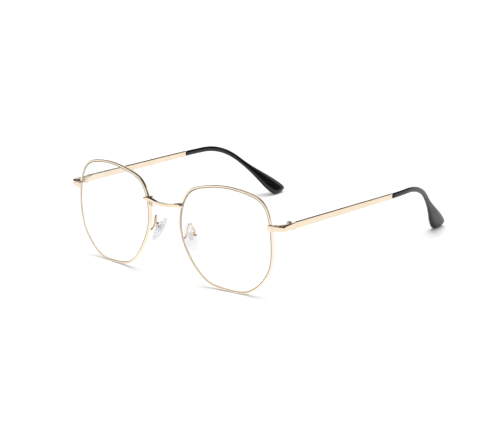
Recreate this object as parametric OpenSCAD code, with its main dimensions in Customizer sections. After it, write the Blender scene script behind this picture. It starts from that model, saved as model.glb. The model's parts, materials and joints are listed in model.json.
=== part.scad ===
// Geometric wire eyeglasses, standing open on the rim bottoms and the temple tips.
// X is across the face, Y runs back along the temples, Z is up, all in millimetres.
// Left is the wearer's left and lies at +X. Every paired piece is drawn once, on
// the left, and mirrored. Lens shapes are worked out in a lens frame (u outward,
// w back, v up) and set into the face by the wrap and lean angles.

/* [Lens] */
// Lens width at the bevel, the marked eye size
lens_w = 52; // [46:0.5:56]
// Lens height at the bevel
lens_h = 51; // [42:0.5:54]
// Gap between the two lens bevels across the nose
bridge_gap = 19.5; // [16:0.5:23]
// Radius of the base curve that lenses and rims follow
base_r = 144; // [100:1:300]
// Lens thickness
lens_t = 1.8; // [1.4:0.1:2.2]
// Wrap of each lens, outer side turned back, degrees
wrap = 6.2; // [3:0.1:8]
// Forward lean of the lens tops, degrees
lean = 2; // [0:0.1:4]

/* [Rim wire] */
// Rim size front to back
rim_depth = 1.9; // [1.6:0.05:2.4]
// Rim wire outside the bottom of the lens groove
rim_outer = 0.7; // [0.55:0.05:1]
// Depth of the V groove that holds the lens
groove_depth = 0.4; // [0.3:0.05:0.5]
// Half width of the groove at its mouth
groove_half = 0.6; // [0.45:0.05:0.7]
// Corner bevel of the rim wire
rim_bevel = 0.15; // [0.05:0.05:0.25]
// Gap between the two rim ends at the closing block
split_gap = 0.3; // [0.2:0.05:0.5]

/* [Endpiece] */
// Height of the endpieces and hinges over the lens centre
strap_rise = 9.6; // [7:0.1:12]
// Strap height
strap_h = 2.7; // [2.2:0.1:3.4]
// Strap height at the end that lies on the rim
strap_end_h = 2.9; // [2.4:0.1:3.4]
// Strap thickness
strap_t = 1.05; // [0.8:0.05:1.3]
// Strap length past the rim line, over the rim front
strap_overlap = 1.9; // [1.2:0.1:2.4]
// Inner bend radius of the endpiece corner
corner_r = 0.8; // [0.5:0.1:1.5]
// Closing block width across the face
block_w = 2.5; // [2.4:0.1:3.2]
// Closing block size front to back
block_d = 2.4; // [2.2:0.1:2.6]
// Height of the two closing block halves with their gap
block_h = 2.2; // [2:0.1:3]
// Gap between the closing block halves
block_gap = 0.2; // [0.1:0.05:0.4]
// Rim screw shank diameter
rim_screw_d = 1.2; // [1:0.05:1.3]
// Rim screw head diameter
rim_screw_head_d = 2; // [1.7:0.05:2.1]
// Rim screw head height
rim_screw_head_h = 0.45; // [0.35:0.05:0.6]

/* [Hinge] */
// Distance of each hinge pivot outward from the rim
hinge_out = 4; // [3:0.1:7]
// Hinge pivot behind the front of the lens surface
hinge_back = 13.3; // [12:0.1:16]
// Outward splay of the open temples, degrees
splay = 0.9; // [0:0.1:3]
// Knuckle diameter
knuckle_d = 2.6; // [2.3:0.1:2.8]
// Height of the three knuckles together
stack_h = 3.5; // [3.3:0.1:4.3]
// Height of the middle knuckle
middle_h = 1.1; // [1:0.02:1.5]
// Leaf thickness
leaf_t = 0.6; // [0.5:0.05:0.7]
// Leaf height
leaf_h = 2.6; // [2.2:0.1:2.7]
// Length of the front leaf ahead of the pivot
front_leaf = 4.6; // [3.5:0.1:5.5]
// Length of the rear leaf behind the pivot
rear_leaf = 5.8; // [4.5:0.1:7]
// Hinge screw shank diameter
hinge_screw_d = 1.4; // [1.1:0.05:1.5]
// Hinge screw head diameter
hinge_head_d = 2.3; // [2:0.1:2.6]
// Hinge screw head height
hinge_head_h = 0.45; // [0.4:0.05:0.7]
// Distance from the pivot back to the face where the open temple stops
butt_back = 2.2; // [2:0.05:2.6]

/* [Temple] */
// Temple thickness
temple_t = 1.05; // [0.9:0.05:1.3]
// Temple height at the hinge
temple_front_h = 3.6; // [3:0.1:4.2]
// Temple height where the plastic tip begins
temple_rear_h = 3; // [2.6:0.1:3.4]
// Slope of the temple down toward the back, degrees
temple_slope = 1.75; // [0:0.05:3]
// Distance from the pivot to the start of the plastic tip
seam_at = 79; // [70:1:88]
// Distance from the pivot to the start of the ear bend
bend_at = 94; // [89:1:98]
// Radius of the ear bend
bend_r = 38; // [28:1:48]
// Downward angle of the tip behind the ear, degrees
drop = 41; // [35:1:48]
// Distance from the pivot to where the temple starts to curl inward
curl_at = 77; // [70:1:85]
// Radius of the inward curl
curl_r = 150; // [120:5:400]
// Length of the inward curl
curl_len = 40; // [20:1:50]
// Height of the metal core inside the tip
core_h = 2; // [1.6:0.1:2.2]
// Thickness of the metal core inside the tip
core_t = 0.7; // [0.5:0.05:0.9]
// Length of the metal core inside the tip
core_len = 36; // [25:1:42]

/* [Tip] */
// Tip height where it meets the temple
tip_h = 2.7; // [2.6:0.1:3.6]
// Tip thickness where it meets the temple
tip_t = 1.8; // [1.5:0.1:2.2]
// Width of the flat paddle at the end
paddle_w = 9; // [6:0.2:10]
// Thickness of the paddle
paddle_t = 3.2; // [2.4:0.1:3.6]
// Turn of the paddle, its top edge outward, degrees
paddle_turn = 16; // [0:1:25]

/* [Bridge] */
// Height of the bridge over the lens centre at the nose
bridge_rise = 11.6; // [9:0.1:14]
// Rise of the bridge from the middle to its ends
bridge_bow = 1.2; // [0:0.1:2.5]
// Bridge bar height
bar_h = 1.7; // [1.4:0.1:2.2]
// Bridge bar size front to back
bar_d = 1.9; // [1.5:0.1:2.4]
// Front of the bridge ahead of the rim front beside it
bar_ahead = 2.1; // [1.8:0.05:2.6]
// Reach of each pointed bridge end over the rim front, from the middle plane
tongue_reach = 12.6; // [12:0.1:13.4]
// Length of the solder lug behind the rim
lug_len = 5.2; // [3:0.1:6]
// Thickness of the solder lug
lug_t = 0.9; // [0.6:0.05:1.2]

/* [Nose pads] */
// Distance of each pad seat from the middle plane
pad_x = 10.1; // [8.5:0.1:11]
// Pad seat behind the front of the lens surface
pad_back = 7; // [6:0.1:10]
// Pad seat below the lens centre
pad_down = 4.1; // [2.5:0.1:5.5]
// Pad centre below its seat, along the pad
pad_drop = 0.8; // [0:0.1:2]
// Pad length
pad_len = 13.8; // [12:0.2:16]
// Pad width
pad_w = 7.5; // [6.5:0.25:8.5]
// Pad thickness
pad_t = 1.6; // [1.3:0.1:2]
// Tilt of the pads, tops closer together, degrees
pad_tilt = 26; // [18:1:32]
// Splay of the pads, back edges wider apart, degrees
pad_splay = 6; // [0:1:30]
// Lean of the pads, tops further back, degrees
pad_lean = 6; // [0:1:15]
// Pad arm wire diameter
arm_d = 0.9; // [0.7:0.05:1.1]
// Top of the pad arm loop over the lens centre
arm_top = 1.8; // [1:0.1:4]
// Reach of the pad arm straight back from the rim
arm_back = 2.6; // [2:0.1:3.2]
// Pad box width
box_w = 2.2; // [2:0.1:2.6]
// Pad box height
box_h = 1.9; // [1.6:0.1:2.2]
// Wall of the pad box
box_wall = 0.5; // [0.4:0.05:0.6]
// Pad eye diameter, the metal ring that the screw passes through
eye_d = 1.7; // [1.5:0.05:1.8]
// Distance from the pad centre out to the pad screw
eye_out = 1.75; // [1.65:0.05:2]
// Pad screw shank diameter
pad_screw_d = 0.7; // [0.6:0.05:0.8]
// Pad screw head diameter
pad_screw_head_d = 1.3; // [1.1:0.05:1.4]
// Pad screw head height
pad_screw_head_h = 0.35; // [0.3:0.05:0.5]

/* [Fits] */
// Radial gap of a turning pin in its bore
pin_fit = 0.05; // [0.02:0.01:0.08]
// Gap of a soldered or pressed seat
seat = 0.04; // [0.02:0.01:0.06]
// Gap between the lens bevel and the rim groove
bevel_fit = 0.05; // [0.02:0.01:0.08]
// Gap between hinge knuckles that slide on each other
knuckle_gap = 0.05; // [0.03:0.01:0.08]
// Gap around the knuckles where the other leaf is cut back
relief = 0.12; // [0.08:0.01:0.2]

/* [Hidden] */
$fn = 48;
gold = [0.93, 0.86, 0.74];
steel = [0.75, 0.74, 0.72];
black = [0.06, 0.06, 0.07];
clear = [0.86, 0.88, 0.92, 0.45];
// spline steps between two shape points and rings around one rim
steps = 5;
turns = 80;
slot_w = 0.3;
slot_depth = 0.2;

// Corner points of the lens shape: a hexagon with rounded corners and a flat
// outer side, the top wider than the bottom.
shape = [[26, 0], [25.5, 10.5], [22, 22], [10.5, 25], [0, 26], [-10, 24.5],
    [-21.5, 21.5], [-26, 10.5], [-26.5, 0], [-22.5, -9.5], [-17.5, -17.5],
    [-10, -24.5], [0, -25], [11, -26], [19.5, -19.5], [25.5, -10.5]];

function unit(v) = v / norm(v);
function mean(v) = [for (p = v) 1] * v / len(v);
function column(v, k) = [for (p = v) p[k]];
function flat(v) = [for (a = v) for (b = a) b];

// A closed smooth curve near the corner points, one unit of t for each corner.
function corner(c, k) = c[(k + len(c)) % len(c)];
function curve(c, t) = let (k = floor(t), s = t - k)
    (corner(c, k - 1) * pow(1 - s, 3) + corner(c, k) * (3 * pow(s, 3) - 6 * s * s + 4)
    + corner(c, k + 1) * (3 * s * s + 3 * s + 1 - 3 * pow(s, 3)) + corner(c, k + 2) * pow(s, 3)) / 6;
function curve_dir(c, t) = let (k = floor(t), s = t - k)
    (corner(c, k + 1) * (1 + 2 * s - 3 * s * s) + corner(c, k + 2) * s * s
    - corner(c, k - 1) * pow(1 - s, 2) - corner(c, k) * (4 * s - 3 * s * s)) / 2;

// The shape scaled to the lens size and centred on it.
rough = [for (i = [0 : len(shape) * steps - 1]) curve(shape, i / steps)];
low_u = min(column(rough, 0));
high_u = max(column(rough, 0));
low_v = min(column(rough, 1));
high_v = max(column(rough, 1));
outline = [for (p = shape) [(p[0] - (low_u + high_u) / 2) * lens_w / (high_u - low_u),
    (p[1] - (low_v + high_v) / 2) * lens_h / (high_v - low_v)]];

// A point of the groove bottom on the base curve, the way out from the lens
// centre along the curve, and the way back square to it.
function sag(p, r) = base_r - sqrt(r * r - p[0] * p[0] - p[1] * p[1]);
function groove(t) = let (p = curve(outline, t)) [p[0], sag(p, base_r), p[1]];
function axial(t) = let (p = groove(t)) unit([-p[0], base_r - p[1], -p[2]]);
function along(t) = let (p = groove(t), d = curve_dir(outline, t))
    unit([d[0], (p[0] * d[0] + p[2] * d[1]) / (base_r - p[1]), d[1]]);
function radial(t) = cross(axial(t), along(t));
function in_lens(t, r, w) = groove(t) + radial(t) * r + axial(t) * w;

// From the lens frame to the face frame, whose origin is midway between the
// lens centres at the height of the lens centres.
function turned(p) = let (y = p[1] * cos(lean) - p[2] * sin(lean), z = p[1] * sin(lean) + p[2] * cos(lean))
    [p[0] * cos(wrap) - y * sin(wrap), p[0] * sin(wrap) + y * cos(wrap), z];
lens_x = bridge_gap / 2 - min([for (i = [0 : turns]) turned(groove(i * len(shape) / turns))[0]]);
function placed(p) = turned(p) + [lens_x, 0, 0];
function on_face(t, r, w) = placed(in_lens(t, r, w));

// Where the curve reaches a height on the outer side, by halving.
function height_at(t) = on_face(t, 0, 0)[2];
function find(z, low, high, n) = let (m = (low + high) / 2)
    n == 0 ? m : ((height_at(m) < z) == (height_at(low) < z) ? find(z, m, high, n - 1) : find(z, low, m, n - 1));
split = find(strap_rise, 0, 2, 24);
half_cut = split_gap / 2 / norm(curve_dir(outline, split));
function ring_t(i) = split + half_cut + i * (len(shape) - 2 * half_cut) / turns;

// Rim wire section as [out, back] pairs, with the groove toward the lens.
half_d = rim_depth / 2;
rim_section = [[0, 0], [-groove_depth, groove_half], [-groove_depth, half_d - rim_bevel / 2],
    [rim_bevel / 2 - groove_depth, half_d], [rim_outer - rim_bevel, half_d],
    [rim_outer - rim_bevel / 3, half_d - rim_bevel], [rim_outer, half_d / 3], [rim_outer, -half_d / 3],
    [rim_outer - rim_bevel / 3, rim_bevel - half_d], [rim_outer - rim_bevel, -half_d],
    [rim_bevel / 2 - groove_depth, -half_d], [-groove_depth, rim_bevel / 2 - half_d],
    [-groove_depth, -groove_half]];
rim_rings = [for (i = [0 : turns]) [for (q = rim_section) on_face(ring_t(i), q[0], q[1])]];
floor_z = min(column(flat(rim_rings), 2));

// The lens from the middle of the front, over the bevel, to the middle of the back.
bevel_in = bevel_fit / cos(atan2(groove_depth, groove_half));
edge_in = bevel_in + lens_t / 2 * groove_depth / groove_half;
function lens_ring(side, scale) = [for (i = [0 : turns])
    let (e = in_lens(ring_t(i), -edge_in, side * lens_t / 2), p = [e[0], e[2]] * scale)
    placed([p[0], sag(p, base_r - side * lens_t / 2), p[1]])];
lens_rings = [lens_ring(-1, 1 / 3), lens_ring(-1, 2 / 3), lens_ring(-1, 1),
    [for (i = [0 : turns]) on_face(ring_t(i), -bevel_in, 0)],
    lens_ring(1, 1), lens_ring(1, 2 / 3), lens_ring(1, 1 / 3)];
lens_mid = [placed([0, -lens_t / 2, 0]), placed([0, lens_t / 2, 0])];

// A solid through rings of equal length, closed by a fan to a point at each end.
module loft(rings, ends = undef) {
    n = len(rings[0]);
    m = len(rings);
    caps = ends == undef ? [mean(rings[0]), mean(rings[m - 1])] : ends;
    polyhedron(points = concat(flat(rings), caps), faces = concat(
        [for (j = [0 : m - 2]) for (i = [0 : n - 1]) [j * n + i, j * n + (i + 1) % n, (j + 1) * n + (i + 1) % n]],
        [for (j = [0 : m - 2]) for (i = [0 : n - 1]) [j * n + i, (j + 1) * n + (i + 1) % n, (j + 1) * n + i]],
        [for (i = [0 : n - 1]) [m * n, (i + 1) % n, i]],
        [for (i = [0 : n - 1]) [m * n + 1, (m - 1) * n + i, (m - 1) * n + (i + 1) % n]]));
}

// Sets the face frame on the table with the middle of the object over the origin.
module settled() {
    translate([0, -(rear_y + front_y) / 2, -floor_z]) children();
}

module right_hand() {
    mirror([1, 0, 0]) children();
}

// The frame of the closing block: X out along the base curve, Y back, Z up the rim.
split_out = turned(radial(split));
split_back = turned(axial(split));
split_up = turned(along(split));
split_point = on_face(split, 0, 0);

module at_split() {
    translate(split_point)
        rotate([atan2(split_back[2], split_up[2]), -asin(split_out[2]), atan2(split_out[1], split_out[0])])
        children();
}

block_in = rim_outer + seat;
block_front = -half_d;
screw_r = rim_screw_d / 2;
block_mid = [block_in + block_w / 2, block_front + block_d / 2, 0];

module closing_block_form(side) {
    z = side > 0 ? block_gap / 2 : -block_h / 2;
    half_h = (block_h - block_gap) / 2;
    difference() {
        translate([block_in, block_front, z]) cube([block_w, block_d, half_h]);
        translate(block_mid) cylinder(r = screw_r + pin_fit, h = 2 * block_h, center = true);
        translate(block_mid - [0, 0, block_h]) cylinder(r = rim_screw_head_d / 2 + pin_fit,
            h = block_h / 2 + rim_screw_head_h);
    }
}

module slotted(d, h) {
    difference() {
        cylinder(d = d, h = h);
        translate([0, 0, h]) cube([2 * d, slot_w, 2 * slot_depth], center = true);
    }
}

module rim_screw_form() {
    translate(block_mid) {
        translate([0, 0, -block_h / 2]) cylinder(r = screw_r, h = block_h);
        translate([0, 0, rim_screw_head_h - block_h / 2]) mirror([0, 0, 1])
            slotted(rim_screw_head_d, rim_screw_head_h);
    }
}

// The endpiece in plan: along the rim front, round the corner, back to the butt.
strap_turn = atan2(split_out[1], split_out[0]);
strap_dir = [cos(strap_turn), sin(strap_turn)];
strap_in = [-sin(strap_turn), cos(strap_turn)];
temple_dir = [sin(splay), cos(splay)];
temple_in = [-cos(splay), sin(splay)];
leaf_out = knuckle_d / 2 + pin_fit * 2;
hinge_x = split_point[0] + hinge_out;
pivot = [hinge_x, hinge_back, strap_rise];
seat_point = split_point - split_back * (half_d + seat);
seat_plan = [seat_point[0], seat_point[1]];
return_plan = [hinge_x, hinge_back] - temple_in * leaf_out;
// distances of the corner centre along the seat line and the return line
gap_plan = return_plan + temple_in * corner_r - seat_plan - strap_in * corner_r;
corner_along = cross(gap_plan, temple_dir) / cross(strap_dir, temple_dir);
corner_mid = seat_plan + strap_in * corner_r + strap_dir * corner_along;
return_len = (return_plan - corner_mid) * temple_dir + butt_back;
function arc(r, a, b, n) = [for (i = [0 : n]) corner_mid + r * [cos(a + (b - a) * i / n), sin(a + (b - a) * i / n)]];
outer_arc = arc(corner_r + strap_t, strap_turn - 90, -splay, 10);
inner_arc = arc(corner_r, -splay, strap_turn - 90, 10);
strap_len = corner_along + strap_overlap;
strap_plan = concat([outer_arc[0] - strap_dir * strap_len], outer_arc,
    [outer_arc[10] + temple_dir * return_len, inner_arc[0] + temple_dir * return_len],
    inner_arc, [inner_arc[10] - strap_dir * strap_len]);
// the strap seen from the front, its lower inner corner well rounded
round_r = 1;
small_r = 0.4;
strap_side = concat([[hinge_x, -strap_h / 2], [4, -strap_h / 2], [1.5 - strap_overlap / 2, -strap_end_h / 2]],
    [for (a = [0 : 15 : 90]) [round_r - strap_overlap - round_r * sin(a), round_r - strap_end_h / 2 - round_r * cos(a)]],
    [for (a = [0 : 15 : 90]) [small_r - strap_overlap - small_r * cos(a), strap_end_h / 2 - small_r + small_r * sin(a)]],
    [[1.5 - strap_overlap / 2, strap_end_h / 2], [4, strap_h / 2], [hinge_x, strap_h / 2]]);

module endpiece_form() {
    intersection() {
        translate([0, 0, strap_rise - strap_h]) linear_extrude(2 * strap_h) polygon(strap_plan);
        translate([seat_plan[0], seat_plan[1], strap_rise]) rotate([0, 0, strap_turn]) rotate([90, 0, 0])
            translate([0, 0, -hinge_x]) linear_extrude(2 * hinge_x) polygon(strap_side);
    }
}

// The hinge frame: origin at the pivot, X out, Y back along the open temple.
module at_hinge() {
    translate(pivot) rotate([0, 0, -splay]) children();
}

pin_r = hinge_screw_d / 2;
knuckle_r = knuckle_d / 2;
leaf_in = leaf_out - leaf_t;
outer_from = middle_h / 2 + knuckle_gap;
outer_h = stack_h / 2 - outer_from;

module hinge_front_form() {
    difference() {
        union() {
            for (z = [outer_from, -stack_h / 2]) {
                translate([0, 0, z]) cylinder(r = knuckle_r, h = outer_h);
                translate([0, -knuckle_r, z]) cube([leaf_out - seat, knuckle_r, outer_h]);
            }
            translate([leaf_in - seat, -front_leaf, -leaf_h / 2]) cube([leaf_t, front_leaf, leaf_h]);
        }
        cylinder(r = pin_r + pin_fit, h = 2 * stack_h, center = true);
        cylinder(r = knuckle_r + relief, h = middle_h + 2 * knuckle_gap, center = true);
    }
}

module hinge_rear_form() {
    difference() {
        union() {
            translate([0, 0, -middle_h / 2]) cylinder(r = knuckle_r, h = middle_h);
            translate([0, 0, -middle_h / 2]) cube([leaf_out - 2 * seat, knuckle_r, middle_h]);
            difference() {
                translate([leaf_in - 2 * seat, 0, -leaf_h / 2]) cube([leaf_t, rear_leaf, leaf_h]);
                for (z = [middle_h / 2, -stack_h])
                    translate([0, 0, z]) cylinder(r = knuckle_r + relief, h = stack_h - middle_h / 2);
            }
        }
        cylinder(r = pin_r + pin_fit, h = 2 * stack_h, center = true);
    }
}

module hinge_screw_form() {
    translate([0, 0, -stack_h / 2]) cylinder(r = pin_r, h = stack_h + hinge_head_h / 2);
    translate([0, 0, stack_h / 2 + seat]) slotted(hinge_head_d, hinge_head_h);
}

// The temple line in the hinge frame by distance s from the pivot, with the
// directions across (out) and up the section. Behind bend_at the line turns
// down round the ear, and from curl_at it curls in toward the head.
bend_len = bend_r * (drop - temple_slope) * PI / 180;
turn_len = 12;
function slope(s) = temple_slope + min(max(s - bend_at, 0), bend_len) / bend_r * 180 / PI;
function path_y(s) = min(s, bend_at) * cos(temple_slope)
    + bend_r * (sin(slope(s)) - sin(temple_slope)) + max(s - bend_at - bend_len, 0) * cos(drop);
function path_z(s) = -min(s, bend_at) * sin(temple_slope)
    + bend_r * (cos(slope(s)) - cos(temple_slope)) - max(s - bend_at - bend_len, 0) * sin(drop);
temple_mid = leaf_out + temple_t / 2 - seat;
function curl(s) = min(max(s - curl_at, 0), curl_len);
function path(s) = [temple_mid - (curl(s) / 2 + max(s - curl_at - curl_len, 0)) * curl(s) / curl_r, path_y(s), path_z(s)];
function heading(s) = unit([-curl(s) / curl_r, cos(slope(s)), -sin(slope(s))]);
function upright(s) = [0, sin(slope(s)), cos(slope(s))];
function turn(s) = paddle_turn * min(max(s - bend_at, 0), bend_len + turn_len) / (bend_len + turn_len);
function out(s) = cross(heading(s), upright(s)) * cos(turn(s)) - upright(s) * sin(turn(s));
function up(s) = upright(s) * cos(turn(s)) + cross(heading(s), upright(s)) * sin(turn(s));
// A ring of the temple or tip, slid along its line by q so that q = 1 gives a level cut.
function temple_ring(s, section, q) = [for (p = section)
    let (t = s + q * p[1] / tan(drop)) path(t) + out(t) * p[0] + up(t) * p[1]];
// Section of twelve points, a rectangle with rounded corners.
function rounded(w, h, a, b) = let (x = w / 2, y = h / 2)
    [[x, y - b], [x - a * 0.3, y - b * 0.3], [x - a, y], [a - x, y], [a * 0.3 - x, y - b * 0.3], [-x, y - b],
    [-x, b - y], [a * 0.3 - x, b * 0.3 - y], [a - x, -y], [x - a, -y], [x - a * 0.3, b * 0.3 - y], [x, b - y]];

edge_r = 0.12;
core_step = 4;
function core_rings(gap, from, to) = [for (s = [from : core_step : to])
    temple_ring(s, rounded(core_t + 2 * gap, core_h + 2 * gap, edge_r, edge_r), 0)];
function strip_h(s) = temple_front_h + (temple_rear_h - temple_front_h) * s / seam_at;
strip_rings = [for (s = [butt_back + 2 * seat, seam_at / 3, seam_at / 1.5, seam_at])
    temple_ring(s, rounded(temple_t, strip_h(s), edge_r, edge_r), 0)];

// The last part of the tip: distance to the end, share of the way from the size
// at the temple to the paddle, shares of the paddle size, and slide of the ring.
bend_steps = 9;
paddle = [[36, 0, 1, 1, 0], [32, 0.06, 1, 1, 0], [28, 0.16, 1, 1, 0], [24, 0.3, 1, 1, 0.05], [20, 0.48, 1, 1, 0.1],
    [16, 0.68, 1, 1, 0.18], [12, 0.87, 1, 1, 0.28], [8.5, 0.98, 1, 1, 0.36], [5.5, 1, 1, 1, 0.42], [3.4, 1, 0.97, 0.97, 0.46],
    [1.8, 1, 0.89, 0.88, 0.48], [0.8, 1, 0.76, 0.7, 0.5], [0.2, 1, 0.58, 0.4, 0.5]];
function between(a, b, share) = a + (b - a) * share;
function tip_section(w, t) = rounded(t, w, t * 0.36, w * 0.2);
function tip_end_rings(tail) = [for (k = paddle) temple_ring(bend_at + bend_len + tail - k[0],
    tip_section(between(tip_h, paddle_w, k[1]) * k[2], between(tip_t, paddle_t, k[1]) * k[3]), k[4])];
// The tail is as long as it takes for the paddle to touch the table.
table_z = floor_z - strap_rise;
function touching(tail, n) = n == 0 ? tail
    : touching(tail + (min(column(flat(tip_end_rings(tail)), 2)) - table_z) / sin(drop), n - 1);
tail = touching(36, 3);
tip_outside = concat([for (s = [seam_at + seat, (seam_at + bend_at) / 2]) temple_ring(s, tip_section(tip_h, tip_t), 0)],
    [for (i = [0 : bend_steps - 1]) temple_ring(bend_at + bend_len * i / bend_steps, tip_section(tip_h, tip_t), 0)],
    tip_end_rings(tail));
tip_slot = core_rings(seat, seam_at + seat, seam_at + core_len + core_step);

function from_hinge(p) = [p[0] * cos(splay) + p[1] * sin(splay), p[1] * cos(splay) - p[0] * sin(splay), p[2]] + pivot;
rear_y = max([for (r = tip_outside) for (p = r) from_hinge(p)[1]]);

module temple_form() {
    loft(concat(strip_rings, core_rings(0, seam_at, seam_at + core_len)));
}

module temple_tip_form() {
    last = len(tip_slot) - 1;
    // from the bottom of the slot to its mouth, then along the outside to the end
    loft(concat([for (j = [0 : last]) tip_slot[last - j]], tip_outside));
}

// The bridge as slices across the face: distance from the middle as a share of
// the reach, front, back, height of the middle and slice height.
bar_top = bridge_rise + bridge_bow;
lug_t0 = find(bar_top, 8.4, 5.6, 24);
rim_front = on_face(lug_t0, 0, -half_d)[1];
rim_back = rim_front + rim_depth;
front_y = rim_front - bar_ahead;
bar_back = front_y + bar_d;
slices = [[0, front_y, bar_back, bridge_rise, bar_h], [0.24, front_y + 0.05, bar_back, bridge_rise + 0.08, bar_h],
    [0.48, front_y + 0.2, bar_back + 0.2, bridge_rise + bridge_bow * 0.4, bar_h],
    [0.63, front_y + 0.35, bar_back + 0.5, bridge_rise + bridge_bow * 0.75, bar_h + 0.2],
    [0.68, front_y + 0.4, rim_back + 0.3, bar_top - 0.2, bar_h + 0.4], [0.78, front_y + 0.4, rim_back + 0.3, bar_top - 0.1, bar_h + 0.4],
    [0.8, front_y + 0.4, rim_front - 0.1, bar_top - 0.1, bar_h + 0.3], [0.9, front_y + 0.45, rim_front - 0.2, bar_top, bar_h - 0.4],
    [1, front_y + 0.75, rim_front - 0.8, bar_top + 0.1, 0.4]];
function slice(side, k) = [for (p = rounded(k[2] - k[1], k[4], 0.3 * (k[2] - k[1]), 0.3 * k[4]))
    [side * k[0] * tongue_reach, (k[1] + k[2]) / 2 - p[0], k[3] + p[1]]];

// The stretch of rim beside the nose, grown by the seat gap, for cutting seats.
function seat_ring(i) = let (out = rim_outer + seat, back = half_d + seat)
    [for (q = [[-groove_depth - seat, back], [out, back], [out, -back], [-groove_depth - seat, -back]])
    on_face(ring_t(i), q[0], q[1])];
seat_rings = [for (i = [27 : 37]) seat_ring(i)];

// A lug behind the rim, soldered to it below the bridge.
lug_top = on_face(lug_t0, 0, half_d + seat);
lug_down = turned(along(lug_t0));

module lug() {
    hull() {
        translate(lug_top + [-0.9, lug_t / 2, 0.2]) cube([1.6, lug_t, 1.2], center = true);
        translate(lug_top + lug_down * lug_len + [0, lug_t / 2, 0]) cube([0.8, lug_t, 0.8], center = true);
    }
}

module bridge_form() {
    difference() {
        union() {
            loft(concat([for (i = [len(slices) - 1 : -1 : 1]) slice(-1, slices[i])], [for (k = slices) slice(1, k)]));
            lug();
            mirror([1, 0, 0]) lug();
        }
        loft(seat_rings);
        mirror([1, 0, 0]) loft(seat_rings);
    }
}

// The pad frame: origin at its seat, X out away from the nose, Y back, Z up the pad.
pad_mid = [pad_x, pad_back, -pad_down];

module at_pad() {
    translate(pad_mid) rotate([-pad_lean, 0, 0]) rotate([0, -pad_tilt, -pad_splay]) children();
}

function from_pad(p) = let (x = p[0] * cos(pad_tilt) - p[2] * sin(pad_tilt), z = p[0] * sin(pad_tilt) + p[2] * cos(pad_tilt),
    y = p[1] * cos(pad_splay) - x * sin(pad_splay))
    [x * cos(pad_splay) + p[1] * sin(pad_splay), y * cos(pad_lean) + z * sin(pad_lean), z * cos(pad_lean) - y * sin(pad_lean)] + pad_mid;

box_back = eye_out + eye_d / 2 + 2 * pin_fit + box_wall;
box_front = eye_out - 0.7;
cheek_in = box_w / 2 - box_wall;

module bore_y(r) {
    translate([eye_out, 0, 0]) rotate([90, 0, 0]) cylinder(r = r, h = 2 * box_w, center = true);
}

module pad_box_form() {
    difference() {
        translate([box_front, -box_w / 2, -box_h / 2]) cube([box_back - box_front, box_w, box_h]);
        translate([box_front - 1, -cheek_in, -box_h]) cube([box_back - box_wall - box_front + 1, 2 * cheek_in, 2 * box_h]);
        bore_y(pad_screw_d / 2 + pin_fit);
    }
}

plate_r = 1.2;
plate_half = 1.2;
plate_t = 0.45;
stem_half = 0.45;

// The metal insert: an oval plate inside the pad, a stem and an eye.
module insert_form(gap) {
    for (z = [-plate_half, plate_half])
        translate([-plate_t / 2 - gap, 0, z]) rotate([0, 90, 0]) cylinder(r = plate_r + gap, h = plate_t + 2 * gap);
    cube([plate_t + 2 * gap, 2 * plate_r + 2 * gap, 2 * plate_half], center = true);
    translate([0, -cheek_in + pin_fit - gap, -stem_half - gap])
        cube([eye_out, 2 * (cheek_in - pin_fit + gap), 2 * (stem_half + gap)]);
}

module pad_insert_form() {
    difference() {
        union() {
            insert_form(0);
            translate([eye_out, 0, 0]) rotate([90, 0, 0]) cylinder(d = eye_d, h = 2 * (cheek_in - pin_fit), center = true);
        }
        bore_y(pad_screw_d / 2 + pin_fit);
    }
}

// Pad layers from the nose side to the back: share of the thickness, share of the outline.
layers = [[-0.5, 0.62], [-0.42, 0.82], [-0.2, 0.96], [0, 1], [0.2, 0.97], [0.38, 0.86], [0.5, 0.6]];
pad_sides = 24;
function pad_ring(x, s) = [for (i = [0 : pad_sides - 1]) let (a = i * 360 / pad_sides)
    [x * pad_t, s * pad_w / 2 * cos(a) * (1 - 0.08 * sin(a)), s * pad_len / 2 * sin(a) - pad_drop]];

module nose_pad_form() {
    difference() {
        loft([for (k = layers) pad_ring(k[0], k[1])]);
        insert_form(seat);
    }
}

module pad_screw_form() {
    translate([eye_out, box_w / 2, 0]) rotate([90, 0, 0]) cylinder(d = pad_screw_d, h = box_w);
    translate([eye_out, box_w / 2 + seat, 0]) rotate([-90, 0, 0]) slotted(pad_screw_head_d, pad_screw_head_h);
    translate([eye_out, box_w / 2 + 2 * seat, 0]) rotate([90, 0, 0]) cylinder(d = pad_screw_d, h = 3 * seat);
}

// The pad arm, a bent wire from the back of the rim up, over and down to the pad box.
root_t = find(-pad_down, 9.6, 7.4, 24);
root = on_face(root_t, 0.1, half_d + seat);
arm_end = from_pad([box_back + seat, 0, 0]);
arm_side = arm_end[0] - root[0];
arm_points = [root, root, root, root + [0, arm_back * 0.6, 0.2],
    root + [-0.1, arm_back, 1], [root[0] - 0.2, root[1] + arm_back + 0.6, arm_top - 2.2],
    [root[0] - 0.1, root[1] + arm_back + 1.4, arm_top + 0.4], [root[0] + arm_side * 0.4, arm_end[1] - 0.7, arm_top + 0.6],
    [arm_end[0] + 0.4, arm_end[1] - 0.2, arm_top - 2], from_pad([box_back + 1.2, 0, 0]), arm_end, arm_end, arm_end];
arm_sides = 8;
function arm_line(t) = curve(arm_points, t);
function arm_ring(t) = let (d = unit(curve_dir(arm_points, t)), x = unit([1, 0, 0] - d * d[0]), y = cross(d, x))
    [for (i = [0 : arm_sides - 1]) arm_line(t) + arm_d / 2 * (x * cos(i * 360 / arm_sides) + y * sin(i * 360 / arm_sides))];
arm_last = len(arm_points) - 2;

module pad_arm_form() {
    loft(concat([arm_ring(1.02)], [for (t = [2 : 0.5 : arm_last - 1]) arm_ring(t)], [arm_ring(arm_last - 0.02)]));
}

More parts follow.
